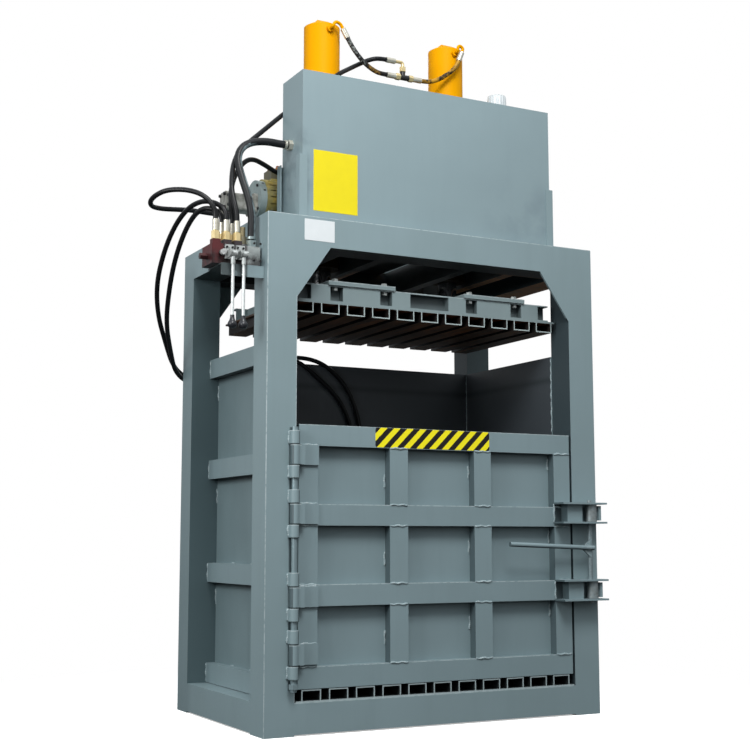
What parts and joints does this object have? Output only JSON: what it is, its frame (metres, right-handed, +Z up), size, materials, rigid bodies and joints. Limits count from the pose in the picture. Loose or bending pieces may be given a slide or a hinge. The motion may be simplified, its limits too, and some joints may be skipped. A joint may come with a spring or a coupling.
{
  "type": "vertical baler",
  "caption": "Vertical waste baler: box frame with a hinged door, a platen pressed down by twin hydraulic cylinders, and an oil tank, motor, pump and lever valve on top.",
  "frame": {"origin": "centre of the bounding box on the floor, hoses left out", "axes": "+Z up, -Y towards the door side, +X to the right of someone facing the door"},
  "size_m": [2.013, 1.1367, 3.138],
  "materials": {
    "frame_paint": "satin blue-grey paint",
    "door_paint": "satin blue-grey paint",
    "chamber_paint": "satin dark blue-grey paint",
    "platen_paint": "satin dark paint with primer showing",
    "cylinder_paint": "gloss yellow paint",
    "rod_chrome": "hard chrome",
    "piston_iron": "machined",
    "worn_steel": "worn and lightly stained",
    "tank_paint": "satin blue-grey paint",
    "breather_plastic": "smooth white",
    "bell_casting": "cast",
    "motor_paint": "satin olive paint",
    "rotor_steel": "machined",
    "fan_cover_paint": "satin dark paint",
    "pump_casting": "cast",
    "valve_paint": "gloss maroon paint",
    "lever_casting": "cast",
    "knob_plastic": "smooth dark",
    "hose_rubber": "matt black",
    "hose_steel": "zinc plated",
    "fitting_brass": "plain",
    "fitting_black": "black"
  },
  "bodies": {
    "frame": {"front_columns": "frame_paint", "rear_columns": "frame_paint", "top_beams": "frame_paint", "corner_gussets": "frame_paint", "base_rails": "frame_paint", "wall_bars": "frame_paint", "cylinder_beams": "frame_paint", "hinge_fixed_knuckles": "frame_paint", "latch_keepers": "frame_paint", "tank_uprights": "frame_paint", "valve_shelf": "frame_paint", "floor_plate": "chamber_paint", "floor_channels": "chamber_paint", "chamber_walls": "chamber_paint", "deck_plates": "chamber_paint", "cylinder_barrels": "cylinder_paint", "cylinder_flanges": "cylinder_paint", "cylinder_caps": "cylinder_paint", "cylinder_glands": "cylinder_paint", "head_elbows": "cylinder_paint", "hinge_pin": "worn_steel", "oil_tank": "tank_paint", "breather_cap": "breather_plastic", "bell_housing": "bell_casting", "motor_body": "motor_paint", "motor_fan_cover": "fan_cover_paint", "gear_pump": "pump_casting", "valve_body": "valve_paint", "lever_brackets": "lever_casting", "return_hose": "hose_rubber", "pump_hose": "hose_rubber", "ejector_hose_1": "hose_rubber", "ejector_hose_2": "hose_rubber", "lift_hose": "hose_rubber", "lower_hose": "hose_rubber", "left_cylinder_hose": "hose_rubber", "right_cylinder_hose": "hose_rubber", "hose_ferrules": "hose_steel", "return_fittings": "hose_steel", "port_adapters": "fitting_brass", "pipe_fittings": "fitting_black"},
    "platen": {"platen_plate": "platen_paint", "platen_channels": "platen_paint", "platen_beams": "platen_paint", "rod_flange_plates": "platen_paint", "rod_flange_bolts": "worn_steel", "piston_rods": "rod_chrome", "pistons": "piston_iron"},
    "door": {"door_frame": "door_paint", "door_sheet": "door_paint", "hinge_leaves": "door_paint", "latch_housings": "door_paint"},
    "latch": {"latch_shaft": "worn_steel", "latch_eccentrics": "worn_steel", "latch_handle": "door_paint"},
    "left_lever": {"left_valve_lever": "lever_casting", "left_lever_knob": "knob_plastic"},
    "right_lever": {"right_valve_lever": "lever_casting", "right_lever_knob": "knob_plastic"},
    "rotor": {"motor_rotor": "rotor_steel"}
  },
  "joints": [
    {"name": "platen_slide", "type": "slide", "parent": "frame", "child": "platen", "axis": [0, 0, -1], "range_m": [0, 0.92]},
    {"name": "door_hinge", "type": "hinge", "parent": "frame", "child": "door", "pos_m": [-0.564, -0.483, 0.69], "axis": [0, 0, -1], "range_deg": [0, 120]},
    {"name": "latch_turn", "type": "hinge", "parent": "door", "child": "latch", "pos_m": [0.856, -0.501, 0.705], "axis": [0, 0, 1], "range_deg": [0, 100]},
    {"name": "left_lever_tilt", "type": "hinge", "parent": "frame", "child": "left_lever", "pos_m": [-0.823, -0.447, 1.888], "axis": [1, 0, 0], "range_deg": [-10, 10], "stiffness_Nm_per_rad": 8},
    {"name": "right_lever_tilt", "type": "hinge", "parent": "frame", "child": "right_lever", "pos_m": [-0.777, -0.447, 1.888], "axis": [1, 0, 0], "range_deg": [-10, 10], "stiffness_Nm_per_rad": 8},
    {"name": "motor_spin", "type": "hinge", "parent": "frame", "child": "rotor", "pos_m": [-0.46, -0.033, 2.231], "axis": [1, 0, 0], "continuous": true}
  ]
}
